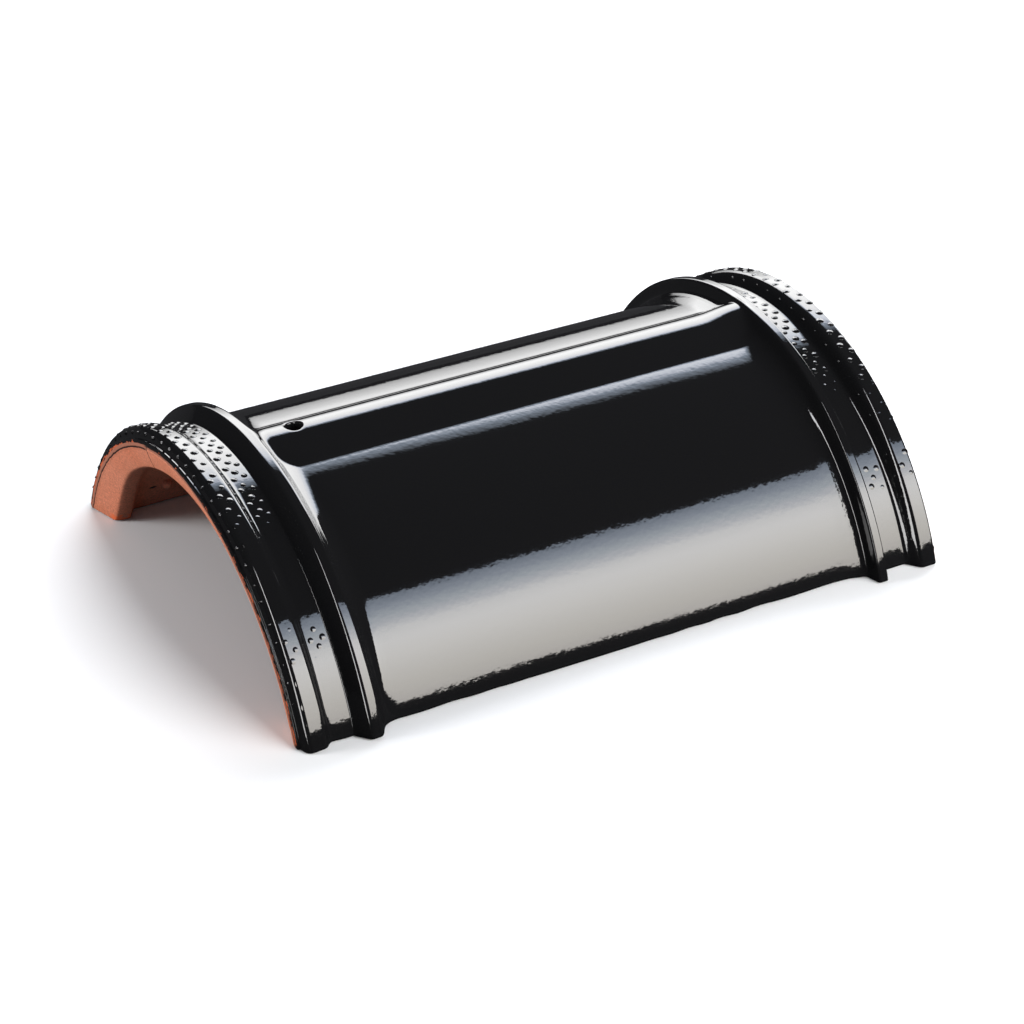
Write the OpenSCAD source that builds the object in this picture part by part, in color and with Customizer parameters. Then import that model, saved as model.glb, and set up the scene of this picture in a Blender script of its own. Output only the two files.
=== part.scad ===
// Glazed clay ridge tile, one fired piece, modelled in millimetres.
// The tile lies as it rests on a level floor: length along X, crown up along Z, legs on Z = 0.
// The near end of the photograph is at -X, the collared covering end at +X, the seen leg at -Y.

/* [Which piece] */
// Piece to build, or all of them

/* [Overall form] */
// Length over both ends
tile_l = 340; // [280:1:420]
// Width between the outer feet of the plain arch, at the floor
arch_w = 244.6; // [200:0.1:300]
// Height of the plain arch at the crown
arch_h = 83.8; // [60:0.1:120]
// Wall thickness of the plain arch, square to its face
wall = 14; // [10:0.2:20]

/* [Collars] */
// Height of the near collar over the plain arch
near_h = 9; // [6:0.1:15]
// Height of the far collar over the plain arch
far_h = 10.2; // [6:0.1:15]
// Middle of the near collar's crest from the near end
near_x = 36; // [32:0.1:50]
// Near edge of the far collar's crest from the far end
far_x = 33; // [28:0.1:45]
// Length of the near collar's slope down to the panel
slope_near = 11.8; // [6:0.1:20]
// Length of the far collar's slope down to the panel
slope_far = 15; // [8:0.1:24]
// Width of the level crest on each collar
crest_w = 2.4; // [1:0.1:4]

/* [Near end] */
// Height of the studded lip band over the plain arch
lip_h = 5.1; // [2:0.1:8]
// Drop of the near end's outer edge under the plain arch
rim_drop = 1.1; // [0:0.1:2]
// Far edge of the lip band, where it steps down
lip_edge_x = 12.6; // [9:0.1:16]
// Height of the second studded band
band_h = 1.8; // [0.5:0.1:4]
// End of the second studded band, where the cove begins
band_end_x = 26.6; // [22:0.1:30]

/* [Far end] */
// Height of the end band of the covering end
end_h = 8.5; // [5:0.1:12]
// Start of the end band from the far end
end_x = 7.2; // [4:0.1:10]
// Start of the rise to the end band from the far end
rise_x = 15; // [11:0.1:20]
// Height of the studded band behind the far collar
low_h = 1.9; // [0.5:0.1:4]

/* [Crown rib] */
// Height of the rib along the crown over the plain arch
rib_h = 6.5; // [3:0.1:8.5]
// Half of the rib's width at its foot
rib_w = 21; // [12:0.1:26]
// Radius over the top of the rib
rib_r = 16; // [8:0.1:20]

/* [Nail hole] */
// Distance of the nail hole from the near end
hole_x = 59; // [54:0.5:90]
// Bore of the nail hole
hole_d = 8; // [5:0.1:12]
// Width of the rounded mouth of the nail hole
hole_mouth_d = 10; // [8:0.1:16]

/* [Underside] */
// Width of the bare clay ledge on the near end's face
ledge_w = 3.4; // [2:0.1:5]
// Depth of the inner rib inside the near end, under the plain wall
inner_rib = 7; // [2:0.1:9]
// Depth of the socket inside the far end
socket = 5.8; // [2:0.1:8]
// Length of the socket inside the far end
socket_l = 25; // [15:0.5:40]

/* [Hidden] */
// Arch radius from its width and height
arch_r = (arch_w * arch_w / 4 + arch_h * arch_h) / (2 * arch_h);
// Height of the arch axis, under the floor
axis_z = arch_h - arch_r;
// Steps of a short curve in the profile
steps = 7;
$fn = 180;

// Soft step between two heights, without its first point
function ease(x0, y0, x1, y1, n) =
    [for (i = [1:n]) [x0 + (x1 - x0) * i / n, y0 + (y1 - y0) * (1 - cos(180 * i / n)) / 2]];
// Quarter curve that leaves the first point level and reaches the second one steeply
function cove(x0, y0, x1, y1, n, a = 78) =
    [for (i = [1:n]) let (t = a * i / n)
        [x0 + (x1 - x0) * sin(t) / sin(a), y0 + (y1 - y0) * (1 - cos(t)) / (1 - cos(a))]];

// Heights over the plain arch along the outside, from the near end to the far end
crest_x = near_x - crest_w / 2;
far_crest_x = tile_l - far_x;
step_x = far_crest_x + crest_w;
outer = concat(
    [[0, -rim_drop], [0.5, 0.6], [1.8, 2.5], [3.2, lip_h - 0.9], [4.4, lip_h - 0.2], [5.6, lip_h]],
    [[lip_edge_x - 0.7, lip_h], [lip_edge_x, lip_h - 0.5], [lip_edge_x + 0.4, band_h + 0.9]],
    [[lip_edge_x + 1.2, band_h + 0.2], [lip_edge_x + 2.4, band_h], [band_end_x, band_h]],
    cove(band_end_x, band_h, crest_x - 2.4, near_h - 1.4, steps),
    [[crest_x - 1.4, near_h - 0.4], [crest_x, near_h], [crest_x + crest_w, near_h]],
    ease(crest_x + crest_w, near_h, crest_x + crest_w + slope_near, 0, 2 * steps),
    [[far_crest_x - slope_far, 0]],
    ease(far_crest_x - slope_far, 0, far_crest_x, far_h, 2 * steps),
    [[step_x, far_h], [step_x + 0.8, far_h - 0.8], [step_x + 1.2, low_h + 1]],
    [[step_x + 2, low_h + 0.3], [step_x + 3.4, low_h], [tile_l - rise_x, low_h]],
    ease(tile_l - rise_x, low_h, tile_l - end_x, end_h, steps),
    [[tile_l - 1.4, end_h], [tile_l - 0.4, end_h - 0.6], [tile_l, end_h - 1.6]]
);
// The same along the inside, from the far end back to the near end
rib_in = 0 - wall - inner_rib;
ledge_in = 0 - rim_drop - ledge_w;
inner = concat(
    [[tile_l, socket - wall], [tile_l - socket_l, socket - wall]],
    ease(tile_l - socket_l, socket - wall, tile_l - socket_l - 8, -wall, steps),
    [[18, -wall]],
    ease(18, -wall, 11.4, rib_in, steps),
    [[8.4, rib_in], [6.4, rib_in + 0.9], [4.9, rib_in + 2.3], [3.9, rib_in + 4.2]],
    [[2.4, ledge_in - 6.6], [1, ledge_in - 2.6], [0.4, ledge_in - 0.7], [0, ledge_in]]
);

// Body turned round the arch axis from one axial profile, cut level at the floor
module turned_arch() {
    intersection() {
        translate([-tile_l / 2, 0, axis_z])
            rotate([0, 90, 0])
                rotate_extrude()
                    polygon([for (p = concat(outer, inner)) [arch_r + p[1], p[0]]]);
        translate([-tile_l, -arch_w, 0])
            cube([2 * tile_l, 2 * arch_w, 2 * arch_h]);
    }
}

// Rib along the crown: a round top that sweeps out into the arch on both sides
rib_foot_a = asin(rib_w / (arch_r - 0.3));
rib_drop = arch_h + rib_h - (axis_z + (arch_r - 0.3) * cos(rib_foot_a));
rib_vn = rib_w * sin(rib_foot_a) + (rib_r - rib_drop) * cos(rib_foot_a);
rib_cove = (pow(rib_w, 2) + pow(rib_r - rib_drop, 2) - pow(rib_r, 2)) / (2 * (rib_r - rib_vn));
rib_cy = rib_w + rib_cove * sin(rib_foot_a);
rib_cz = -rib_drop + rib_cove * cos(rib_foot_a);
rib_a = atan2(rib_cy, rib_cz + rib_r);
rib_half = concat(
    [for (i = [0:8]) [rib_r * sin(rib_a * i / 8), rib_r * (cos(rib_a * i / 8) - 1)]],
    [for (i = [1:8]) let (t = rib_a + (rib_foot_a - rib_a) * i / 8)
        [rib_cy - rib_cove * sin(t), rib_cz - rib_cove * cos(t)]]
);
module crown_rib() {
    translate([near_x - tile_l / 2, 0, arch_h + rib_h])
        rotate([90, 0, 90])
            linear_extrude(height = far_crest_x - near_x)
                polygon(concat(
                    rib_half,
                    [[rib_w, -rib_drop - 5], [-rib_w, -rib_drop - 5]],
                    [for (i = [len(rib_half) - 1:-1:1]) [-rib_half[i][0], rib_half[i][1]]]
                ));
}

// Nail hole through the rib, with a mouth opened out as glaze leaves it
module nail_hole() {
    translate([hole_x - tile_l / 2, 0, 0]) {
        translate([0, 0, arch_h - 2 * wall])
            cylinder(h = 4 * wall, d = hole_d, $fn = 48);
        translate([0, 0, arch_h + rib_h - 1.5])
            cylinder(h = 3, d1 = hole_d, d2 = 2 * hole_mouth_d - hole_d, $fn = 48);
    }
}

// The one fired piece
module ridge_tile() {
    color([0.06, 0.06, 0.065])
        difference() {
            union() {
                turned_arch();
                crown_rib();
            }
            nail_hole();
        }
}

ridge_tile();
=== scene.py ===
# A glazed clay ridge tile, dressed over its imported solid.
# Sizes are written in millimetres, as on the real tile, and become metres where they enter a mesh.
import bpy
import numpy as np
from math import acos, atan2, cos, pi, radians, sin
from mathutils import Matrix, Vector


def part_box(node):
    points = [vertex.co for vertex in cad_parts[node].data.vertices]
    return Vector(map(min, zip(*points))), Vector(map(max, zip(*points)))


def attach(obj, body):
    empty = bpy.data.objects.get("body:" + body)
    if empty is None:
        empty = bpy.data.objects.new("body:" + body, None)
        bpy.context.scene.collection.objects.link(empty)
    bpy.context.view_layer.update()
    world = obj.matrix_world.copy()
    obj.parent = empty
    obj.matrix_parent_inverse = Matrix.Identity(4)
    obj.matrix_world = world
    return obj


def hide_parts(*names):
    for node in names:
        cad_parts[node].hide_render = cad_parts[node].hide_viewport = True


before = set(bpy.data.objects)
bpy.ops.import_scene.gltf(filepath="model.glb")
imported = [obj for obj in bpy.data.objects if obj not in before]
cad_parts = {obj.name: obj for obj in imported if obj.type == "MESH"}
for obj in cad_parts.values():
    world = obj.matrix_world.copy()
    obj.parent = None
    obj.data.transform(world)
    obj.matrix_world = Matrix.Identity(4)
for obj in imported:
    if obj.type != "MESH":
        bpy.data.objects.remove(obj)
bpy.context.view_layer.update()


# The fired body. One slab of red clay, pressed over a half-round mould with its collars, bands and
# crown rib, then sprayed with black glaze outside and fired. It is laid out here as the flat slab
# it was, with its relief as heights, and a node tree bends it over the arch.
MM = 0.001
low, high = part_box("ridge_tile")
tile_l = (high.x - low.x) / MM
arch_w = 244.6
arch_h = 83.8
wall = 14
arch_r = (arch_w ** 2 / 4 + arch_h ** 2) / (2 * arch_h)
axis_depth = arch_r - arch_h
half_turn = acos(axis_depth / arch_r)
half_arc = arch_r * half_turn

lip_h = 5.1
lip_edge = 12.6
band_h = 1.8
band_end = 26.6
near_h = 9
near_x = 36
far_h = 10.2
far_x = tile_l - 33
end_h = 8.5
rim_drop = 1.1
ledge_w = 3.4
inner_rib = 7
socket = 5.8
edge_r = 1.5


def linear(hex_colour):
    """An sRGB hex colour as the linear colour that a shader takes."""
    channels = [int(hex_colour[i:i + 2], 16) / 255 for i in (1, 3, 5)]
    return [c / 12.92 if c <= 0.04045 else ((c + 0.055) / 1.055) ** 2.4 for c in channels] + [1]


def node(tree, kind, inputs=None, **settings):
    """Adds a node with its settings; an input is a value, or the socket that feeds it."""
    made = tree.nodes.new(kind)
    for name, value in settings.items():
        setattr(made, name, value)
    for key, value in (inputs or {}).items():
        if isinstance(value, bpy.types.NodeSocket):
            tree.links.new(value, made.inputs[key])
        else:
            made.inputs[key].default_value = value
    return made


def flowing(points, at):
    """Heights along an outline that runs through its points without overshoot."""
    x, y = np.array(points, float).T
    step = np.diff(x)
    slope = np.diff(y) / step
    turn = np.zeros(len(x))
    same = slope[1:] * slope[:-1] > 0
    w1 = 2 * step[1:] + step[:-1]
    w2 = step[1:] + 2 * step[:-1]
    with np.errstate(divide="ignore", invalid="ignore"):
        mean = (w1 + w2) / (w1 / slope[:-1] + w2 / slope[1:])
    turn[1:-1] = np.where(same, mean, 0)
    turn[0], turn[-1] = slope[0], slope[-1]
    i = np.clip(np.searchsorted(x, at) - 1, 0, len(step) - 1)
    t = (at - x[i]) / step[i]
    return (y[i] * (1 + 2 * t) * (1 - t) ** 2 + step[i] * turn[i] * t * (1 - t) ** 2
            + y[i + 1] * t ** 2 * (3 - 2 * t) + step[i] * turn[i + 1] * t ** 2 * (t - 1))


def s_slope(x0, y0, x1, y1, n=6):
    """Points of a soft step between two heights, both ends left out."""
    return [(x0 + (x1 - x0) * i / n, y0 + (y1 - y0) * (1 - cos(pi * i / n)) / 2) for i in range(1, n)]


outside = (
    [(0, -rim_drop), (0.1, -0.3), (0.3, 0), (1.3, 0.21), (1.6, 0.95), (2, 2.4), (3.2, lip_h - 0.9)]
    + [(4.4, lip_h - 0.2), (5.4, lip_h), (11, lip_h), (11.9, lip_h - 0.15), (12.7, lip_h - 0.7), (13.5, 3.6)]
    + [(14.4, 2.75), (15.4, band_h + 0.25), (16.4, band_h + 0.02), (17.4, band_h), (band_end, band_h)]
    + [(band_end + 0.3, 2), (band_end + 0.6, 2.35), (31.6, 7.6), (32.3, 8.35), (33, 8.8), (34, near_h)]
    + [(near_x + 1, near_h), (38, 8.55), (38.9, 7.5), (39.8, 6.1), (40.7, 4.7), (41.6, 3.45), (42.6, 2.45)]
    + [(43.9, 1.7), (45.6, 1.05), (47, 0.62), (48.5, 0.28), (50, 0.07), (51.5, 0), (291.5, 0), (294, 0.1)]
    + [(296, 0.38), (298, 0.85), (300, 1.45), (301.4, 1.9), (302.1, 2.25), (303.2, 2.97), (303.6, 3.7)]
    + [(304.1, 5.6), (304.8, 8.6), (305.1, 9.55), (305.4, 9.95), (306.2, far_h), (far_x + 2.4, far_h)]
    + [(far_x + 3.2, far_h - 0.8), (far_x + 3.6, 2.9), (far_x + 4.4, 2.2), (far_x + 5.8, 1.9)]
    + [(tile_l - 15, 1.9)]
    + s_slope(tile_l - 15, 1.9, tile_l - 7.2, end_h)
    + [(tile_l - 7.2, end_h), (tile_l - 1.4, end_h), (tile_l - 0.4, end_h - 0.6), (tile_l, end_h - 1.6)])
inside = (
    [(0, -rim_drop - ledge_w), (0.4, -5.2), (1, -7.1), (2.4, -11.1), (4.3, -17), (4.7, -18.3), (5.2, -19.1)]
    + [(6.4, -19.8), (8.4, -20.5), (10, -20.8), (11.4, -wall - inner_rib)]
    + s_slope(11.4, -wall - inner_rib, 18, -wall)
    + [(18, -wall), (tile_l - 33, -wall)]
    + s_slope(tile_l - 33, -wall, tile_l - 25, socket - wall)
    + [(tile_l - 25, socket - wall), (tile_l, socket - wall)])
inside_crown = [
    (0, -rim_drop - ledge_w), (0.4, -5.1), (1, -6.8), (2.2, -10), (3.7, -13.4), (4.1, -14.3), (4.7, -15),
    (6, -15.5), (8.4, -15.7), (11, -15.6), (14, -14.9), (18, -wall)]
crown_until = 90
legs_from = 150


def eased(t):
    """A share from 0 to 1 that starts and ends softly."""
    t = np.clip(t, 0, 1)
    return t * t * (3 - 2 * t)


def underside(along, across):
    """Height of the clay's inner face; the rib inside the near end runs out towards the crown."""
    legs = eased((np.abs(across) - crown_until) / (legs_from - crown_until))
    crown = np.where(along < 18, flowing(inside_crown, np.minimum(along, 18)), flowing(inside, along))
    return flowing(inside, along) * legs + crown * (1 - legs)


# The crown rib, which lies a little nearer the seen side: a round top, straight flanks, the far one
# steeper, and a small fillet at the foot, as heights over the arch at a distance across
rib_h = 6.5
rib_foot_seen = 21.3
rib_foot_far = 17.7
rib_top_r = 17.5
rib_middle = -1.2
fillet = 1.7
swell_near = 0.2
swell_far = 0.37


def crown_rib(across):
    """Height of the rib alone."""
    y = np.abs(across - rib_middle)
    foot_at = np.where(across < rib_middle, rib_foot_seen, rib_foot_far)
    flank_from = foot_at - np.sqrt(foot_at ** 2 - 2 * rib_top_r * rib_h)
    flank = flank_from / rib_top_r
    left_over = foot_at - y
    foot = flank * np.clip(left_over + fillet, 0, 2 * fillet) ** 2 / (4 * fillet)
    top = rib_h - y ** 2 / (2 * rib_top_r)
    return np.where(y < flank_from, top, np.where(left_over > fillet, flank * left_over, foot))


def relief(along, across):
    """Height of the glazed face over the plain arch, the rib swept up softly into both collars."""
    band = flowing(outside, along)
    sweep = (1 + swell_near * eased((near_x + 9 - along) / 9)
             + swell_far * eased((along - far_x + 23) / 22))
    fades = eased((along - near_x + 2) / 6) * eased((far_x + 3 - along) / 6)
    rib = crown_rib(across) * sweep * fades
    positive = np.maximum(band, 0)
    return np.minimum(band, 0) + (positive ** 4 + rib ** 4) ** 0.25


# Stations along the tile, close together where the outline turns, and columns across it, close
# together over the crown. Both pass the nail hole at the corners of a patch that is cut out there.
hole_x = 59
hole_r = 4
patch = 8


def stations(*zones):
    """Places along a line, from zones of a start, a stop and a step."""
    parts = [np.arange(start, stop - step / 2, step) for start, stop, step in zones]
    return np.concatenate(parts + [[zones[-1][1]]])


along = stations(
    (0, 1.6, 0.16), (1.6, 3.6, 0.4), (3.6, 6, 0.3), (6, 12, 1), (12, 15, 0.3), (15, 26.4, 1.14),
    (26.4, 27.2, 0.2), (27.2, 31.6, 1.1), (31.6, 34, 0.3), (34, 37, 0.6), (37, 51, 0.65), (51, 67, 1.6),
    (67, far_x - 15, 4), (far_x - 15, far_x - 6, 0.9), (far_x - 6, far_x, 0.35), (far_x, far_x + 6, 0.4),
    (far_x + 6, tile_l - 15, 1.2), (tile_l - 15, tile_l - 7, 0.5), (tile_l - 7, tile_l - 2, 1),
    (tile_l - 2, tile_l, 0.25))
half = stations((0, patch, 1), (patch, 26, 1), (26, half_arc - edge_r - 1, 2.15))
across = np.concatenate([-half[:0:-1], half])
turn_steps = 4
foot_steps = 3
foot_wave = 0.3
columns = len(across)

# One row of the slab at each station: over the top, round the foot, back under and round again. The
# foot was cut by hand, so its line rises and falls a little between the places it stands on.
rounding = [radians(90 * i / turn_steps) for i in range(1, turn_steps + 1)]
rows = []
for x in along:
    top = relief(np.full(columns, x), across)
    under = underside(np.full(columns, x), across)
    over_edge, under_edge = top[-1], under[-1]
    foot = half_arc - foot_wave * (1 - sin(x / 4.1 + 2 * sin(x / 17))) * (1 + sin(x / 31)) / 2
    side = [(foot - edge_r + edge_r * sin(a), over_edge - edge_r * (1 - cos(a))) for a in rounding]
    side += [(foot, over_edge - edge_r + (under_edge - over_edge + 2 * edge_r) * i / foot_steps)
             for i in range(1, foot_steps)]
    side += [(foot - edge_r + edge_r * sin(a), under_edge + edge_r * (1 - cos(a))) for a in rounding[::-1]]
    rows.append([(x, s, h) for s, h in zip(across, top)]
                + [(x, s, h) for s, h in side]
                + [(x, s, h) for s, h in zip(across[::-1], under)]
                + [(x, -s, h) for s, h in side[::-1]])
loop = len(rows[0])
foot_n = len(side)
points = [p for row in rows for p in row]
faces = []
bare = []
left = int(np.argmin(np.abs(across + patch)))
right = int(np.argmin(np.abs(across - patch)))
first = int(np.argmin(np.abs(along - hole_x + patch)))
last = int(np.argmin(np.abs(along - hole_x - patch)))
under_start = columns + foot_n


def under_index(column):
    """Place in a row of the point under a column of the top."""
    return under_start + columns - 1 - column


for i in range(len(along) - 1):
    for k in range(loop):
        in_hole = first <= i < last and (left <= k < right or under_index(right) <= k < under_index(left))
        if in_hole:
            continue
        a, b = i * loop + k, i * loop + (k + 1) % loop
        faces.append((a, a + loop, b + loop, b))
        glazed_foot = turn_steps + 1
        bare.append(columns + glazed_foot <= k < loop - glazed_foot - 1)

# End faces: each column's top joins its underside, in a few strips, and the foot closes by pairs
cap_steps = 5
for i, out in ((0, -1), (len(along) - 1, 1)):
    grid = []
    for k in range(columns):
        top, under = points[i * loop + k], points[i * loop + under_index(k)]
        line = [i * loop + k]
        for j in range(1, cap_steps):
            line.append(len(points))
            points.append((top[0], top[1], top[2] + (under[2] - top[2]) * j / cap_steps))
        grid.append(line + [i * loop + under_index(k)])
    for k in range(columns - 1):
        for j in range(cap_steps):
            quad = (grid[k][j], grid[k][j + 1], grid[k + 1][j + 1], grid[k + 1][j])
            faces.append(quad[::out])
            bare.append(j > 0)
    for start in (columns - 1, under_index(0)):
        ring = [i * loop + (start + j) % loop for j in range(foot_n + 2)]
        ends = grid[columns - 1] if start == columns - 1 else grid[0][::-1]
        faces.append(tuple((ring[::-1] + ends[1:-1])[::out]))
        bare.append(True)

# The nail hole: rings from the square patch in to a round mouth, down the bore, and out again below
def patch_edge(index):
    """Points round the square patch, on the top or on the underside."""
    edge = [(first, k) for k in range(left, right)] + [(i, right) for i in range(first, last)]
    edge += [(last, k) for k in range(right, left, -1)] + [(i, left) for i in range(last, first, -1)]
    return [i * loop + index(k) for i, k in edge]


mouth = 1.3
under_mouth = 0.3
hole_steps = 5
rings = []
for index, outer in ((lambda k: k, True), (under_index, False)):
    edge = patch_edge(index)
    made = [edge]
    angles = [atan2(points[p][1], points[p][0] - hole_x) for p in edge]
    reach = [np.hypot(points[p][1], points[p][0] - hole_x) for p in edge]
    steps = [1 - t / hole_steps for t in range(1, hole_steps + 1)]
    if outer:
        steps += [-radians(90 * t / hole_steps) for t in range(1, hole_steps + 1)]
    for step in steps:
        ring = []
        for angle, distance in zip(angles, reach):
            rim = hole_r + (mouth if outer else under_mouth)
            d = rim + (distance - rim) * max(step, 0)
            sink = 0
            if step < 0:
                d = hole_r + mouth * (1 - sin(-step))
                sink = mouth * (1 - cos(-step))
            x, s = hole_x + d * cos(angle), d * sin(angle)
            height = relief if outer else underside
            h = height(np.array([x]), np.array([s]))[0]
            ring.append(len(points))
            points.append((x, s, h - sink))
        made.append(ring)
    rings.append(made)
bore = rings[0] + rings[1][::-1]
for j, (one, two) in enumerate(zip(bore, bore[1:])):
    for k in range(len(one)):
        n = (k + 1) % len(one)
        faces.append((one[k], two[k], two[n], one[n]))
        bare.append(j > len(rings[0]) - 1)

# A crumb of clay that fired on to the wall inside the near end: a lumpy closed ball, half sunk in
crumb_x = 32
crumb_s = 136.5
crumb_half_l = 2.5
crumb_half_w = 4.4
crumb_half_h = 2.9
crumb_sunk = 1
crumb_sides = 12
crumb_rings = 6
start = len(points)
points.append((crumb_x, crumb_s, -wall + crumb_half_h - crumb_sunk))
for ring in range(1, crumb_rings):
    for k in range(crumb_sides):
        turn = 2 * pi * k / crumb_sides
        lump = 1 + 0.22 * sin(3 * turn + ring) + 0.12 * sin(5 * turn)
        out = sin(pi * ring / crumb_rings) * lump
        drop = cos(pi * ring / crumb_rings)
        points.append((crumb_x + crumb_half_l * out * cos(turn), crumb_s + crumb_half_w * out * sin(turn),
                       -wall + crumb_half_h * drop - crumb_sunk))
points.append((crumb_x, crumb_s, -wall - crumb_half_h - crumb_sunk))
for k in range(crumb_sides):
    n = (k + 1) % crumb_sides
    crumb = [(start, start + 1 + k, start + 1 + n)]
    for ring in range(crumb_rings - 2):
        a = start + 1 + ring * crumb_sides
        crumb.append((a + k, a + crumb_sides + k, a + crumb_sides + n, a + n))
    a = start + 1 + (crumb_rings - 2) * crumb_sides
    crumb.append((a + k, start + 1 + (crumb_rings - 1) * crumb_sides, a + n))
    faces += crumb
    bare += [True] * len(crumb)

slab = bpy.data.meshes.new("clay_slab")
flat = np.array(points, float)
slab.from_pydata([(x * MM, s / half_arc, h * MM) for x, s, h in flat], [], faces)
slab.attributes.new("bare", "BOOLEAN", "FACE").data.foreach_set("value", bare)
sheet = slab.attributes.new("slab_mm", "FLOAT_VECTOR", "POINT")
sheet.data.foreach_set("vector", flat.ravel())
body = bpy.data.objects.new("ridge_tile_body", slab)
bpy.context.scene.collection.objects.link(body)

# Fired red clay: iron-rich terracotta, left bare inside and on the ends. Dry, matt and gritty, with
# paler and darker grains of grog. The wiped ledge is greyer. Up to the seam the black glaze runs over
# its upper part. Past the seam a thin near-black line along its inner edge is painted shade of a small
# step there, which the body doesn't have. A hairline seam crosses the cove by the crown, and the far
# foot has a fresh break in raw orange.
clay = bpy.data.materials.new("bare_terracotta")
clay.use_nodes = True
tree = clay.node_tree
tree.nodes.clear()
place = node(tree, "ShaderNodeTexCoord").outputs["Object"]
sheet = node(tree, "ShaderNodeAttribute", attribute_name="slab_mm").outputs["Vector"]
lies = node(tree, "ShaderNodeSeparateXYZ", {0: sheet}).outputs
cloud_mm = 22
grog_mm = 1.1
ragged_mm = 3
ledge_h = -3.8
run_h = -2.7
seam_at = 37.4
break_s = 151.5
nose_x = 8
fleck_at = (25.4, 137.8, -wall)
cloud = node(tree, "ShaderNodeTexNoise", {"Vector": place, "Scale": 1 / (cloud_mm * MM),
                                          "Detail": 4}).outputs["Fac"]
grit = node(tree, "ShaderNodeTexNoise", {"Vector": place, "Scale": 1 / (grog_mm * MM), "Detail": 4,
                                         "Roughness": 0.7}).outputs["Fac"]
tone = node(tree, "ShaderNodeMix", {"Factor": cloud, 6: linear("#cf7654"), 7: linear("#dc9074")},
            data_type="RGBA").outputs[2]
grain = node(tree, "ShaderNodeMapRange", {"Value": grit, "From Min": 0.3, "From Max": 0.7, "To Min": 0.72,
                                          "To Max": 1.28}).outputs[0]
tone = node(tree, "ShaderNodeMix", {"Factor": 1, 6: tone, 7: node(tree, "ShaderNodeCombineColor", {
    0: grain, 1: grain, 2: grain}).outputs[0]}, data_type="RGBA", blend_type="MULTIPLY").outputs[2]
ragged = node(tree, "ShaderNodeTexNoise", {"Vector": place, "Scale": 1 / (ragged_mm * MM),
                                           "Detail": 3}).outputs["Fac"]
ragged = node(tree, "ShaderNodeMath", {0: ragged, 1: 0.5}, operation="SUBTRACT").outputs[0]
wander = node(tree, "ShaderNodeMath", {0: ragged, 1: 1, 2: lies[2]}, operation="MULTIPLY_ADD").outputs[0]
behind_seam = node(tree, "ShaderNodeMapRange", {"Value": lies[1], "From Min": seam_at + 1.6,
                                                "From Max": seam_at + 5.6}).outputs[0]
at_face = node(tree, "ShaderNodeMapRange", {"Value": lies[0], "From Min": 0.35, "From Max": 0.55,
                                            "To Min": 1, "To Max": 0}).outputs[0]
ledge = node(tree, "ShaderNodeMapRange", {"Value": wander, "From Min": ledge_h,
                                          "From Max": ledge_h + 0.3}).outputs[0]
ledge = node(tree, "ShaderNodeMath", {0: ledge, 1: at_face}, operation="MULTIPLY").outputs[0]
ledge = node(tree, "ShaderNodeMath", {0: ledge, 1: 0.75}, operation="MULTIPLY").outputs[0]
tone = node(tree, "ShaderNodeMix", {"Factor": ledge, 6: tone, 7: linear("#8d6050")},
            data_type="RGBA").outputs[2]
# Past the seam, a thin near-black line along the ledge's inner edge: painted shade of a small step there,
# which the body doesn't have
line_off = node(tree, "ShaderNodeMath", {0: wander, 1: ledge_h}, operation="SUBTRACT").outputs[0]
line_off = node(tree, "ShaderNodeMath", {0: line_off}, operation="ABSOLUTE").outputs[0]
line = node(tree, "ShaderNodeMapRange", {"Value": line_off, "From Min": 0.25, "From Max": 0.6, "To Min": 1,
                                         "To Max": 0}).outputs[0]
line = node(tree, "ShaderNodeMath", {0: line, 1: behind_seam}, operation="MULTIPLY").outputs[0]
# Up to the seam the black glaze runs over the ledge's upper part. Joined with the painted shade line above,
# this mask paints both.
glaze_run_and_painted_shade = node(tree, "ShaderNodeMapRange", {"Value": wander, "From Min": run_h,
                                        "From Max": run_h + 0.3}).outputs[0]
before_seam = node(tree, "ShaderNodeMath", {0: 1, 1: behind_seam}, operation="SUBTRACT").outputs[0]
glaze_run_and_painted_shade = node(tree, "ShaderNodeMath", {0: glaze_run_and_painted_shade, 1: before_seam}, operation="MULTIPLY").outputs[0]
glaze_run_and_painted_shade = node(tree, "ShaderNodeMath", {0: glaze_run_and_painted_shade, 1: line}, operation="MAXIMUM").outputs[0]
near_face = node(tree, "ShaderNodeMath", {0: lies[0], 1: 1.2}, operation="LESS_THAN").outputs[0]
glaze_run_and_painted_shade = node(tree, "ShaderNodeMath", {0: glaze_run_and_painted_shade, 1: near_face}, operation="MULTIPLY").outputs[0]
tone = node(tree, "ShaderNodeMix", {"Factor": glaze_run_and_painted_shade, 6: tone, 7: linear("#1a1211")},
            data_type="RGBA").outputs[2]
seam = node(tree, "ShaderNodeMath", {0: lies[2], 1: 0.7, 2: lies[1]}, operation="MULTIPLY_ADD").outputs[0]
seam = node(tree, "ShaderNodeMath", {0: ragged, 1: 1.5, 2: seam}, operation="MULTIPLY_ADD").outputs[0]
seam = node(tree, "ShaderNodeMath", {0: seam, 1: seam_at}, operation="SUBTRACT").outputs[0]
seam = node(tree, "ShaderNodeMath", {0: seam}, operation="ABSOLUTE").outputs[0]
seam = node(tree, "ShaderNodeMapRange", {"Value": seam, "From Min": 0.3, "From Max": 0.65, "To Min": 0.9,
                                         "To Max": 0}).outputs[0]
in_cove = node(tree, "ShaderNodeMapRange", {"Value": lies[0], "From Min": 5, "From Max": 6, "To Min": 1,
                                            "To Max": 0}).outputs[0]
seam = node(tree, "ShaderNodeMath", {0: seam, 1: in_cove}, operation="MULTIPLY").outputs[0]
tone = node(tree, "ShaderNodeMix", {"Factor": seam, 6: tone, 7: linear("#3c221a")},
            data_type="RGBA").outputs[2]
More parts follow.
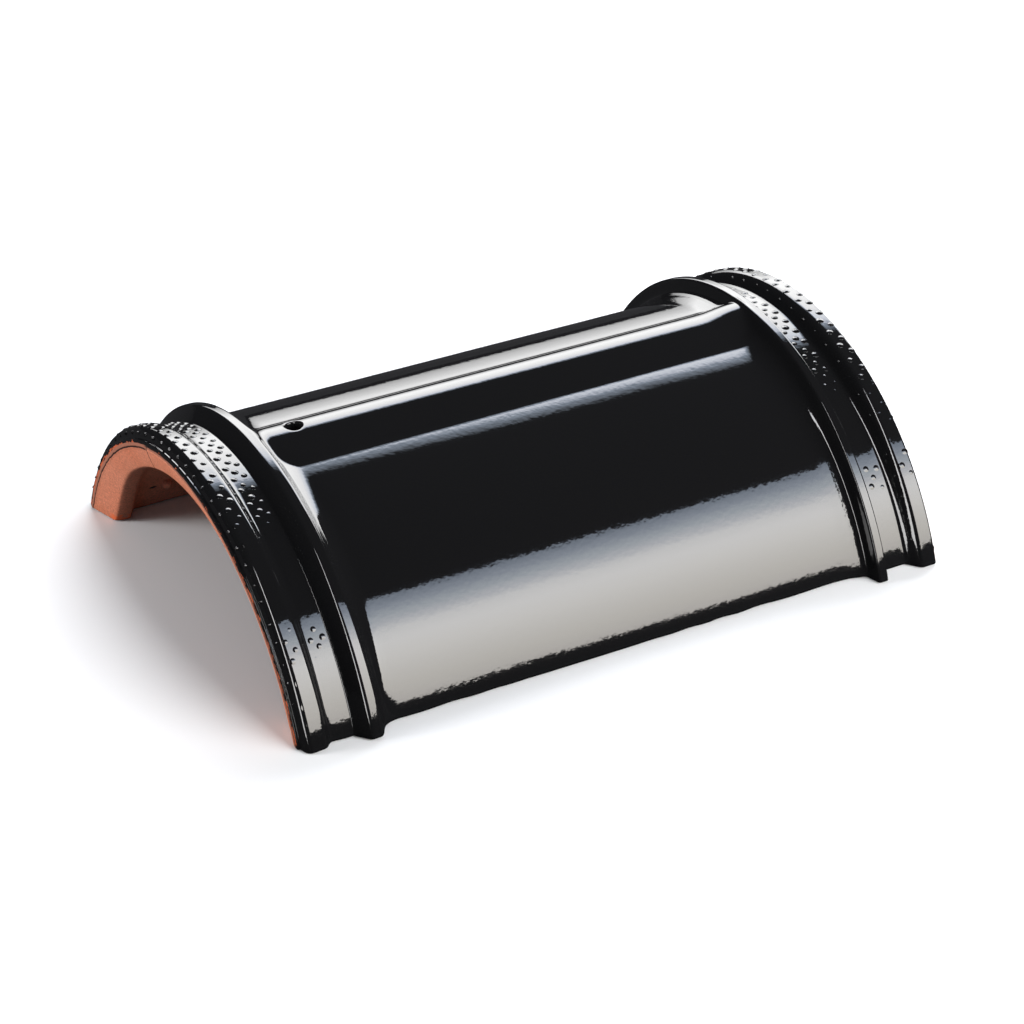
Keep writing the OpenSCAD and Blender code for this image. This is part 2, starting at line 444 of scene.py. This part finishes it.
broken = node(tree, "ShaderNodeMath", {0: ragged, 1: 14, 2: lies[1]}, operation="MULTIPLY_ADD").outputs[0]
broken = node(tree, "ShaderNodeMapRange", {"Value": broken, "From Min": break_s,
                                           "From Max": break_s + 1.5}).outputs[0]
near_nose = node(tree, "ShaderNodeMath", {0: lies[0], 1: nose_x}, operation="SUBTRACT").outputs[0]
near_nose = node(tree, "ShaderNodeMath", {0: near_nose}, operation="ABSOLUTE").outputs[0]
near_nose = node(tree, "ShaderNodeMapRange", {"Value": near_nose, "From Min": 3.5, "From Max": 4.5,
                                              "To Min": 1, "To Max": 0}).outputs[0]
broken = node(tree, "ShaderNodeMath", {0: broken, 1: near_nose}, operation="MULTIPLY").outputs[0]
tone = node(tree, "ShaderNodeMix", {"Factor": broken, 6: tone, 7: linear("#ec7040")},
            data_type="RGBA").outputs[2]
fleck = node(tree, "ShaderNodeVectorMath", {0: sheet, 1: fleck_at}, operation="SUBTRACT").outputs[0]
fleck = node(tree, "ShaderNodeVectorMath", {0: fleck, 1: (0.5, 1, 0.2)}, operation="MULTIPLY").outputs[0]
fleck = node(tree, "ShaderNodeVectorMath", {0: fleck}, operation="LENGTH").outputs["Value"]
fleck = node(tree, "ShaderNodeMapRange", {"Value": fleck, "From Min": 0.8, "From Max": 1.1, "To Min": 1,
                                          "To Max": 0}).outputs[0]
tone = node(tree, "ShaderNodeMix", {"Factor": fleck, 6: tone, 7: linear("#0d0a09")},
            data_type="RGBA").outputs[2]
shade = node(tree, "ShaderNodeBump", {"Height": grit, "Strength": 0.7, "Distance": 0.3 * MM})
matt = node(tree, "ShaderNodeBsdfPrincipled", {"Base Color": tone, "Roughness": 0.9, "IOR": 1.45,
                                               "Normal": shade.outputs[0]})
node(tree, "ShaderNodeOutputMaterial", {"Surface": matt.outputs[0]})

# Black glaze: a lead-free gloss glaze, sprayed on and fired to a glass. It mirrors like wet ink over
# the slight orange peel of spraying, and has chipped off along the near edge in grains drawn out
# along it, more of them near the crown than down the legs.
glaze = bpy.data.materials.new("black_gloss_glaze")
glaze.use_nodes = True
tree = glaze.node_tree
tree.nodes.clear()
place = node(tree, "ShaderNodeTexCoord").outputs["Object"]
sheet = node(tree, "ShaderNodeAttribute", attribute_name="slab_mm").outputs["Vector"]
lies = node(tree, "ShaderNodeSeparateXYZ", {0: sheet}).outputs
peel_mm = 2.6
peel = node(tree, "ShaderNodeTexNoise", {"Vector": place, "Scale": 1 / (peel_mm * MM), "Detail": 2,
                                         "Roughness": 0.5}).outputs["Fac"]
shade = node(tree, "ShaderNodeBump", {"Height": peel, "Strength": 1, "Distance": 0.03 * MM})
skin = node(tree, "ShaderNodeBsdfPrincipled", {"Base Color": linear("#131314"), "Roughness": 0.05,
                                               "IOR": 1.6, "Normal": shade.outputs[0]})
chip_stretch = (0.5, 0.16, 0.5)
crown_to = 45
leg_from = 85
drawn_out = node(tree, "ShaderNodeVectorMath", {0: sheet, 1: chip_stretch}, operation="MULTIPLY").outputs[0]
chips = node(tree, "ShaderNodeTexNoise", {"Vector": drawn_out, "Scale": 1, "Detail": 4,
                                          "Roughness": 0.65}).outputs["Fac"]
chips = node(tree, "ShaderNodeMath", {0: lies[2], 1: -0.09, 2: chips}, operation="MULTIPLY_ADD").outputs[0]
down_a_leg = node(tree, "ShaderNodeMath", {0: lies[1]}, operation="ABSOLUTE").outputs[0]
down_a_leg = node(tree, "ShaderNodeMapRange", {
    "Value": down_a_leg, "From Min": crown_to, "From Max": leg_from, "To Min": -0.13,
    "To Max": 0}).outputs[0]
chips = node(tree, "ShaderNodeMath", {0: chips, 1: down_a_leg}, operation="ADD").outputs[0]
chips = node(tree, "ShaderNodeMapRange", {"Value": chips, "From Min": 0.6, "From Max": 0.63}).outputs[0]
edge = node(tree, "ShaderNodeMapRange", {"Value": lies[0], "From Min": 0.12, "From Max": 0.3, "To Min": 1,
                                         "To Max": 0}).outputs[0]
chips = node(tree, "ShaderNodeMath", {0: chips, 1: edge}, operation="MULTIPLY").outputs[0]
under_bead = node(tree, "ShaderNodeMath", {0: lies[2], 1: -0.2}, operation="LESS_THAN").outputs[0]
chips = node(tree, "ShaderNodeMath", {0: chips, 1: under_bead}, operation="MULTIPLY").outputs[0]
laid_bare = node(tree, "ShaderNodeBsdfPrincipled", {"Base Color": linear("#c4603c"), "Roughness": 0.9,
                                                    "IOR": 1.45})
coat = node(tree, "ShaderNodeMixShader", {0: chips, 1: skin.outputs[0], 2: laid_bare.outputs[0]})
node(tree, "ShaderNodeOutputMaterial", {"Surface": coat.outputs[0]})

# The bend: distance across becomes a turn round the arch axis, so that every row ends on the floor. The
# faint long waves are the hand-pressed clay's, and they fade out before the bands at both ends.
bend = bpy.data.node_groups.new("bend_over_arch", "GeometryNodeTree")
for name, kind, value in (("Slab", "NodeSocketGeometry", None),
                          ("Arch radius", "NodeSocketFloat", arch_r * MM),
                          ("Axis depth", "NodeSocketFloat", axis_depth * MM),
                          ("Tile length", "NodeSocketFloat", tile_l * MM),
                          ("Wave height", "NodeSocketFloat", 0.2 * MM),
                          ("Wave length", "NodeSocketFloat", 45 * MM),
                          ("Waves end at", "NodeSocketFloat", 130 * MM),
                          ("Waves full at", "NodeSocketFloat", 110 * MM),
                          ("Glaze", "NodeSocketMaterial", None), ("Clay", "NodeSocketMaterial", None)):
    made = bend.interface.new_socket(name, in_out="INPUT", socket_type=kind)
    if value is not None:
        made.default_value = value
bend.interface.new_socket("Tile", in_out="OUTPUT", socket_type="NodeSocketGeometry")
given = node(bend, "NodeGroupInput").outputs
spot = node(bend, "ShaderNodeSeparateXYZ", {0: node(bend, "GeometryNodeInputPosition").outputs[0]}).outputs
middle = node(bend, "ShaderNodeMath", {0: given["Tile length"], 1: 0.5}, operation="MULTIPLY").outputs[0]
x = node(bend, "ShaderNodeMath", {0: spot[0], 1: middle}, operation="SUBTRACT").outputs[0]
scale = node(bend, "ShaderNodeMath", {0: 1, 1: given["Wave length"]}, operation="DIVIDE").outputs[0]
guide = node(bend, "ShaderNodeVectorMath", {0: node(bend, "ShaderNodeCombineXYZ", {
    0: node(bend, "ShaderNodeMath", {0: spot[0], 1: 0.5}, operation="MULTIPLY").outputs[0],
    1: node(bend, "ShaderNodeMath", {0: spot[1], 1: 0.16}, operation="MULTIPLY").outputs[0]}).outputs[0],
    "Scale": scale}, operation="SCALE").outputs[0]
wave = node(bend, "ShaderNodeTexNoise", {"Vector": guide, "Scale": 1, "Detail": 1}).outputs[0]
wave = node(bend, "ShaderNodeMath", {0: wave, 1: 0.5}, operation="SUBTRACT").outputs[0]
wave = node(bend, "ShaderNodeMath", {0: wave, 1: given["Wave height"]}, operation="MULTIPLY").outputs[0]
from_middle = node(bend, "ShaderNodeMath", {0: x}, operation="ABSOLUTE").outputs[0]
wave = node(bend, "ShaderNodeMath", {0: wave, 1: node(bend, "ShaderNodeMapRange", {
    "Value": from_middle, "From Min": given["Waves end at"], "From Max": given["Waves full at"],
    "To Min": 0, "To Max": 1}).outputs[0]}, operation="MULTIPLY").outputs[0]
radius = node(bend, "ShaderNodeMath", {0: spot[2], 1: given["Arch radius"]}, operation="ADD").outputs[0]
radius = node(bend, "ShaderNodeMath", {0: radius, 1: wave}, operation="ADD").outputs[0]
ratio = node(bend, "ShaderNodeMath", {0: given["Axis depth"], 1: radius}, operation="DIVIDE").outputs[0]
reach = node(bend, "ShaderNodeMath", {0: ratio}, operation="ARCCOSINE").outputs[0]
turned = node(bend, "ShaderNodeMath", {0: spot[1], 1: reach}, operation="MULTIPLY").outputs[0]
sine = node(bend, "ShaderNodeMath", {0: turned}, operation="SINE").outputs[0]
cosine = node(bend, "ShaderNodeMath", {0: turned}, operation="COSINE").outputs[0]
y = node(bend, "ShaderNodeMath", {0: radius, 1: sine}, operation="MULTIPLY").outputs[0]
z = node(bend, "ShaderNodeMath", {0: radius, 1: cosine}, operation="MULTIPLY").outputs[0]
z = node(bend, "ShaderNodeMath", {0: z, 1: given["Axis depth"]}, operation="SUBTRACT").outputs[0]
bent = node(bend, "GeometryNodeSetPosition", {"Geometry": given["Slab"], "Position": node(
    bend, "ShaderNodeCombineXYZ", {0: x, 1: y, 2: z}).outputs[0]}).outputs[0]
smooth = node(bend, "GeometryNodeSetShadeSmooth", {"Geometry": bent}).outputs[0]
whole = node(bend, "GeometryNodeRealizeInstances", {"Geometry": smooth}).outputs[0]
coated = node(bend, "GeometryNodeSetMaterial", {"Geometry": whole, "Material": given["Glaze"]}).outputs[0]
is_bare = node(bend, "GeometryNodeInputNamedAttribute", {"Name": "bare"}, data_type="BOOLEAN").outputs[0]
ready = node(bend, "GeometryNodeSetMaterial", {"Geometry": coated, "Selection": is_bare,
                                               "Material": given["Clay"]}).outputs[0]
node(bend, "NodeGroupOutput", {"Tile": ready})


def grown(host, name, *settings):
    """Runs node trees on a host object, one after another, and keeps the result as a plain mesh."""
    for group, values in settings:
        modifier = host.modifiers.new(group.name, "NODES")
        modifier.node_group = group
        for socket in group.interface.items_tree:
            if socket.in_out == "INPUT" and socket.name in values:
                modifier[socket.identifier] = values[socket.name]
    seen = host.evaluated_get(bpy.context.evaluated_depsgraph_get())
    mesh = bpy.data.meshes.new_from_object(seen)
    mesh.name = name
    made = bpy.data.objects.new(name, mesh)
    bpy.context.scene.collection.objects.link(made)
    bpy.data.objects.remove(host)
    return made


tile = grown(body, "ridge_tile_fired", (bend, {"Glaze": glaze, "Clay": clay}))
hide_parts("ridge_tile")
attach(tile, "root")


# The studs. Rows of small round knobs pressed into the bands at both ends, which key the mortar and
# break the run of rain under the lap. The glaze flows over them, so each is a low dome with a soft foot.
stud_r = 1.75
stud_rise = 0.55
stud_sides = 10
stud_shape = ((0.22, 0.95), (0.45, 0.74), (0.66, 0.43), (0.85, 0.13), (1.06, -0.04))
verts = [(0, 0, stud_rise)]
for out, up in stud_shape:
    verts += [(out * stud_r * cos(2 * pi * k / stud_sides), out * stud_r * sin(2 * pi * k / stud_sides),
               up * stud_rise) for k in range(stud_sides)]
faces = [(0, 1 + k, 1 + (k + 1) % stud_sides) for k in range(stud_sides)]
for ring in range(len(stud_shape) - 1):
    a = 1 + ring * stud_sides
    faces += [(a + k, a + k + stud_sides, a + (k + 1) % stud_sides + stud_sides, a + (k + 1) % stud_sides)
              for k in range(stud_sides)]
faces.append(tuple(range(len(verts) - 1, len(verts) - 1 - stud_sides, -1)))
stud_mesh = bpy.data.meshes.new("stud")
stud_mesh.from_pydata([tuple(c * MM for c in v) for v in verts], [], faces)
stud = bpy.data.objects.new("stud", stud_mesh)

studded = bpy.data.node_groups.new("stud_rows", "GeometryNodeTree")
for name, kind, value in (("Studs so far", "NodeSocketGeometry", None), ("First row", "NodeSocketFloat", 0),
                          ("Row spacing", "NodeSocketFloat", 0), ("Rows", "NodeSocketInt", 1),
                          ("Studs in a row", "NodeSocketInt", 20), ("Last turn", "NodeSocketFloat", 1),
                          ("Radius", "NodeSocketFloat", 0.1), ("Axis depth", "NodeSocketFloat", 0.1),
                          ("Lean", "NodeSocketFloat", 0), ("Worn below", "NodeSocketFloat", 0.2),
                          ("Nearly gone at", "NodeSocketFloat", 0.7),
                          ("Far side lag", "NodeSocketFloat", 0.35),
                          ("Fresh again at", "NodeSocketFloat", radians(49)),
                          ("Fresh within", "NodeSocketFloat", radians(2.4)),
                          ("Fresh no more", "NodeSocketFloat", radians(4)),
                          ("Left of a fresh one", "NodeSocketFloat", 0.6),
                          ("Left of a worn one", "NodeSocketFloat", 0.03),
                          ("Sinks when worn", "NodeSocketFloat", 0.15 * MM), ("Width", "NodeSocketFloat", 1),
                          ("Height", "NodeSocketFloat", 1), ("Seed", "NodeSocketInt", 1),
                          ("Stud", "NodeSocketObject", None), ("Glaze", "NodeSocketMaterial", None)):
    made = studded.interface.new_socket(name, in_out="INPUT", socket_type=kind)
    if value is not None:
        made.default_value = value
studded.interface.new_socket("Studs", in_out="OUTPUT", socket_type="NodeSocketGeometry")
given = node(studded, "NodeGroupInput").outputs
grid = node(studded, "GeometryNodeMeshGrid", {"Size X": 1, "Size Y": 2, "Vertices X": given["Rows"],
                                              "Vertices Y": given["Studs in a row"]}).outputs[0]
rank = node(studded, "GeometryNodeInputIndex").outputs[0]
row = node(studded, "ShaderNodeMath", {0: rank, 1: given["Studs in a row"]}, operation="DIVIDE").outputs[0]
row = node(studded, "ShaderNodeMath", {0: row}, operation="FLOOR").outputs[0]
in_row = node(studded, "ShaderNodeMath", {0: rank, 1: given["Studs in a row"]},
              operation="MODULO").outputs[0]
odd = node(studded, "ShaderNodeMath", {0: row, 1: 2}, operation="MODULO").outputs[0]
odd = node(studded, "ShaderNodeMath", {0: odd, 1: 0.5}, operation="MULTIPLY").outputs[0]
# How far a stud strays: in parts of a stud's pitch, in metres along the tile, and in size
least = (-0.09, -0.3 * MM, 0.8)
most = (0.09, 0.3 * MM, 1.15)
sway = node(studded, "FunctionNodeRandomValue", {"Min": least, "Max": most, "ID": rank,
                                                 "Seed": given["Seed"]}, data_type="FLOAT_VECTOR").outputs[0]
sway = node(studded, "ShaderNodeSeparateXYZ", {0: sway}).outputs
count = node(studded, "ShaderNodeMath", {0: in_row, 1: odd}, operation="ADD").outputs[0]
count = node(studded, "ShaderNodeMath", {0: count, 1: sway[0]}, operation="ADD").outputs[0]
pitch = node(studded, "ShaderNodeMath", {0: given["Last turn"], 1: 2}, operation="MULTIPLY").outputs[0]
pitch = node(studded, "ShaderNodeMath", {0: pitch, 1: given["Studs in a row"]},
             operation="DIVIDE").outputs[0]
angle = node(studded, "ShaderNodeMath", {0: count, 1: pitch}, operation="MULTIPLY").outputs[0]
angle = node(studded, "ShaderNodeMath", {0: angle, 1: given["Last turn"]}, operation="SUBTRACT").outputs[0]
seen_side = node(studded, "ShaderNodeMath", {0: 0, 1: angle}, operation="SUBTRACT").outputs[0]
far_side = node(studded, "ShaderNodeMath", {0: angle, 1: given["Far side lag"]},
                operation="SUBTRACT").outputs[0]
turned = node(studded, "ShaderNodeMath", {0: seen_side, 1: far_side}, operation="MAXIMUM").outputs[0]
worn = node(studded, "ShaderNodeMapRange", {
    "Value": turned, "From Min": given["Worn below"], "From Max": given["Nearly gone at"], "To Min": 1,
    "To Max": given["Left of a worn one"]}).outputs[0]
fresh = node(studded, "ShaderNodeMath", {0: seen_side, 1: given["Fresh again at"]},
             operation="SUBTRACT").outputs[0]
fresh = node(studded, "ShaderNodeMath", {0: fresh}, operation="ABSOLUTE").outputs[0]
fresh = node(studded, "ShaderNodeMapRange", {
    "Value": fresh, "From Min": given["Fresh within"], "From Max": given["Fresh no more"],
    "To Min": given["Left of a fresh one"], "To Max": 0}).outputs[0]
worn = node(studded, "ShaderNodeMath", {0: worn, 1: fresh}, operation="MAXIMUM").outputs[0]
sunk = node(studded, "ShaderNodeMath", {0: given["Radius"], 1: given["Sinks when worn"]},
            operation="SUBTRACT").outputs[0]
out_at = node(studded, "ShaderNodeMath", {0: worn, 1: given["Sinks when worn"], 2: sunk},
              operation="MULTIPLY_ADD").outputs[0]
sine = node(studded, "ShaderNodeMath", {0: angle}, operation="SINE").outputs[0]
cosine = node(studded, "ShaderNodeMath", {0: angle}, operation="COSINE").outputs[0]
x = node(studded, "ShaderNodeMath", {0: row, 1: given["Row spacing"]}, operation="MULTIPLY").outputs[0]
x = node(studded, "ShaderNodeMath", {0: x, 1: given["First row"]}, operation="ADD").outputs[0]
x = node(studded, "ShaderNodeMath", {0: x, 1: sway[1]}, operation="ADD").outputs[0]
y = node(studded, "ShaderNodeMath", {0: out_at, 1: sine}, operation="MULTIPLY").outputs[0]
z = node(studded, "ShaderNodeMath", {0: out_at, 1: cosine}, operation="MULTIPLY").outputs[0]
z = node(studded, "ShaderNodeMath", {0: z, 1: given["Axis depth"]}, operation="SUBTRACT").outputs[0]
spread = node(studded, "GeometryNodeSetPosition", {"Geometry": grid, "Position": node(
    studded, "ShaderNodeCombineXYZ", {0: x, 1: y, 2: z}).outputs[0]}).outputs[0]
tall = node(studded, "ShaderNodeMath", {0: worn, 1: sway[2]}, operation="MULTIPLY").outputs[0]
tall = node(studded, "ShaderNodeMath", {0: tall, 1: given["Height"]}, operation="MULTIPLY").outputs[0]
wide = node(studded, "ShaderNodeMath", {0: sway[2], 1: given["Width"]}, operation="MULTIPLY").outputs[0]
size = node(studded, "ShaderNodeCombineXYZ", {0: wide, 1: wide, 2: tall}).outputs[0]
aside = node(studded, "ShaderNodeMath", {0: angle, 1: -1}, operation="MULTIPLY").outputs[0]
lean = node(studded, "ShaderNodeCombineXYZ", {0: aside, 1: given["Lean"]}).outputs[0]
knob = node(studded, "GeometryNodeObjectInfo", {"Object": given["Stud"]}).outputs["Geometry"]
placed = node(studded, "GeometryNodeInstanceOnPoints", {"Points": spread, "Instance": knob, "Rotation": lean,
                                                        "Scale": size}).outputs[0]
whole = node(studded, "GeometryNodeRealizeInstances", {"Geometry": placed}).outputs[0]
smooth = node(studded, "GeometryNodeSetShadeSmooth", {"Geometry": whole}).outputs[0]
coated = node(studded, "GeometryNodeSetMaterial", {"Geometry": smooth,
                                                   "Material": given["Glaze"]}).outputs[0]
both = node(studded, "GeometryNodeJoinGeometry", {"Geometry": given["Studs so far"]})
studded.links.new(coated, both.inputs[0])
node(studded, "NodeGroupOutput", {"Studs": both.outputs[0]})

# Each entry: where the first row lies from the near end, the next row's step, rows, studs in a row, the
# band's height over the arch, the lean of its face, the turn below which the studs are worn, how much
# later that is on the far side, and the studs' width and height against the stud above
band_end_turn = radians(1.2)
wears_over = 26
first_seed = 4
stud_bands = ((2.1, 0, 1, 33, 2.6, 58, 34, -12, 0.6, 2.1), (5.8, 3.3, 2, 33, lip_h, 0, 9, 20, 1, 1),
              (18, 3, 3, 35, band_h, 0, 9, 20, 1, 1), (317.5, 3, 3, 33, 1.9, 0, 16, 20, 1, 1),
              (329.6, 0, 1, 30, 5.4, 45, 60, -20, 0.5, 1.6), (333.8, 3.7, 2, 34, end_h, 0, 20, 20, 1, 1))
steps = []
for n, band in enumerate(stud_bands):
    first_row, spacing, count, studs, height, lean_deg, worn_deg, lag_deg, wide, tall = band
    radius = arch_r + height
    steps.append((studded, {
        "First row": (first_row - tile_l / 2) * MM, "Row spacing": spacing * MM, "Rows": count,
        "Studs in a row": studs, "Last turn": acos(axis_depth / radius) - band_end_turn,
        "Radius": radius * MM, "Axis depth": axis_depth * MM, "Lean": -radians(lean_deg),
        "Worn below": radians(worn_deg), "Nearly gone at": radians(worn_deg + wears_over),
        "Far side lag": radians(lag_deg), "Width": wide, "Height": tall, "Seed": n + first_seed,
        "Stud": stud, "Glaze": glaze}))
holder = bpy.data.objects.new("stud_holder", bpy.data.meshes.new("stud_holder"))
bpy.context.scene.collection.objects.link(holder)
studs = grown(holder, "band_studs", *steps)
bpy.data.objects.remove(stud)
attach(studs, "root")


# The stage. A plain pale floor under the tile, which keeps its shadow, and a white ground behind it.
# The real glaze mirrors a dark studio, so only the camera sees floor and ground pale: light scattered
# by the clay meets them mid grey, and what the glaze mirrors is dark cloth.
# The floor ends short of the front softbox, because the strip behind that lamp would show unlit.
floor_half = 1.3
floor_h = -0.0003
floor_mesh = bpy.data.meshes.new("floor")
floor_mesh.from_pydata([(-floor_half, -floor_half, floor_h), (floor_half, -floor_half, floor_h),
                        (floor_half, floor_half, floor_h), (-floor_half, floor_half, floor_h)],
                       [], [(0, 1, 2, 3)])
floor = bpy.data.objects.new("floor", floor_mesh)
bpy.context.scene.collection.objects.link(floor)
paper = bpy.data.materials.new("white_paper_floor")
paper.use_nodes = True
tree = paper.node_tree
tree.nodes.clear()
seen_by = node(tree, "ShaderNodeLightPath").outputs
paper_white = node(tree, "ShaderNodeBsdfDiffuse", {"Color": linear("#f2f2f2")})
cloth_dark = node(tree, "ShaderNodeBsdfDiffuse", {"Color": linear("#2b2b2c")})
paper_shaded = node(tree, "ShaderNodeBsdfDiffuse", {"Color": linear("#747474")})
mix = node(tree, "ShaderNodeMixShader", {0: seen_by["Is Diffuse Ray"], 1: cloth_dark.outputs[0],
                                         2: paper_shaded.outputs[0]})
mix = node(tree, "ShaderNodeMixShader", {0: seen_by["Is Camera Ray"], 1: mix.outputs[0],
                                         2: paper_white.outputs[0]})
node(tree, "ShaderNodeOutputMaterial", {"Surface": mix.outputs[0]})
floor_mesh.materials.append(paper)

world = bpy.data.worlds.new("studio")
bpy.context.scene.world = world
world.use_nodes = True
tree = world.node_tree
tree.nodes.clear()
seen_by = node(tree, "ShaderNodeLightPath").outputs
room = node(tree, "ShaderNodeBackground", {"Color": linear("#707276"), "Strength": 1})
dark = node(tree, "ShaderNodeBackground", {"Color": linear("#1c1c1e"), "Strength": 1})
white = node(tree, "ShaderNodeBackground", {"Color": linear("#ffffff"), "Strength": 1})
mix = node(tree, "ShaderNodeMixShader", {0: seen_by["Is Glossy Ray"], 1: room.outputs[0],
                                         2: dark.outputs[0]})
mix = node(tree, "ShaderNodeMixShader", {0: seen_by["Is Camera Ray"], 1: mix.outputs[0],
                                         2: white.outputs[0]})
node(tree, "ShaderNodeOutputWorld", {"Surface": mix.outputs[0]})


# The lamps. Two large softboxes stand on either side, where the tile's glaze mirrors them in the
# photograph. Past the near end a narrow one draws the thin lines on the collars, and a fill lights the
# bare clay. Each glows most behind its bulb, and its cloth turns dimmer and bluer away from it.
def softbox(name, foot, azimuth, width, low, high, hot, glow):
    """An upright lamp over a foot on the floor, in metres; glow lists its colour from low to high."""
    data = bpy.data.lights.new(name, "AREA")
    data.shape = "RECTANGLE"
    data.size = width
    data.size_y = high - low
    data.energy = hot * pi * width * (high - low)
    data.use_nodes = True
    tree = data.node_tree
    tree.nodes.clear()
    spread = node(tree, "ShaderNodeNewGeometry").outputs["Parametric"]
    cloth = node(tree, "ShaderNodeSeparateXYZ", {0: spread})
    ramp = node(tree, "ShaderNodeValToRGB", {0: cloth.outputs[1]})
    for n, (place, colour) in enumerate(glow):
        stop = ramp.color_ramp.elements[n] if n < 2 else ramp.color_ramp.elements.new(place)
        stop.position = place
        stop.color = (*colour, 1)
    shine = node(tree, "ShaderNodeEmission", {"Color": ramp.outputs[0], "Strength": 1})
    node(tree, "ShaderNodeOutputLight", {"Surface": shine.outputs[0]})
    lamp = bpy.data.objects.new(name, data)
    bpy.context.scene.collection.objects.link(lamp)
    facing = Vector((-sin(radians(azimuth)), cos(radians(azimuth)), 0))
    aim = facing.to_track_quat("-Z", "Y").to_matrix().to_4x4()
    lamp.matrix_world = Matrix.Translation(Vector((foot[0], foot[1], (low + high) / 2))) @ aim
    lamp.visible_camera = False
    return lamp


front_glow = ((0, (0.70, 0.67, 0.63)), (0.1, (0.80, 0.77, 0.72)), (0.3, (0.96, 0.94, 0.91)),
              (0.42, (1, 0.99, 0.98)), (0.52, (0.92, 0.92, 0.92)), (0.6, (0.69, 0.71, 0.75)),
              (0.7, (0.52, 0.57, 0.62)), (0.83, (0.355, 0.40, 0.47)), (1, (0.22, 0.26, 0.32)))
back_glow = ((0, (0.12, 0.12, 0.12)), (0.04, (0.185, 0.185, 0.185)), (0.1, (0.29, 0.29, 0.29)),
             (0.18, (0.52, 0.52, 0.52)), (0.27, (0.63, 0.63, 0.63)), (0.36, (0.71, 0.71, 0.71)),
             (0.57, (0.80, 0.80, 0.81)), (0.75, (0.70, 0.73, 0.79)), (0.81, (0.57, 0.60, 0.68)),
             (0.86, (0.24, 0.28, 0.34)), (1, (0.03, 0.035, 0.04)))
end_glow = ((0, (0.8, 0.8, 0.8)), (0.5, (1, 1, 1)), (1, (0.8, 0.82, 0.85)))
softbox("front_softbox", (0.97, -1.4), 0, 1.9, 0.282, 2.023, 10, front_glow)
softbox("back_softbox", (1.07, 1.129), 163.4, 2.1, 0.11, 2.168, 10.8, back_glow)
kicker = softbox("end_kicker", (-1.27, -0.86), -56, 0.3, 0.02, 4.2, 12, end_glow)
kicker.visible_diffuse = False
fill = softbox("clay_end_fill", (-1.52, 0.5), -108.2, 0.5, 0.05, 1.1, 15, end_glow)
fill.visible_glossy = False

# The camera, at the photograph's height and side, with the lens that its perspective gives
azimuth = radians(28.787)
elevation = radians(30.915)
roll = radians(-0.132)
away = 1.49882
to_the_right = 0.004734
upwards = 0.008994
back = Vector((-sin(azimuth) * cos(elevation), -cos(azimuth) * cos(elevation), sin(elevation)))
level = (-back).cross(Vector((0, 0, 1))).normalized()
upright = level.cross(-back)
right_hand = level * cos(roll) + upright * sin(roll)
up_hand = upright * cos(roll) - level * sin(roll)
stand = back * away + right_hand * to_the_right + up_hand * upwards
camera_data = bpy.data.cameras.new("camera")
camera_data.sensor_width = 36
camera_data.lens = 106.03
camera_data.clip_end = 200
camera = bpy.data.objects.new("camera", camera_data)
bpy.context.scene.collection.objects.link(camera)
turn = Matrix((right_hand, up_hand, back)).transposed().to_4x4()
camera.matrix_world = Matrix.Translation(stand) @ turn
bpy.context.scene.camera = camera
bpy.context.scene.view_settings.view_transform = "Standard"
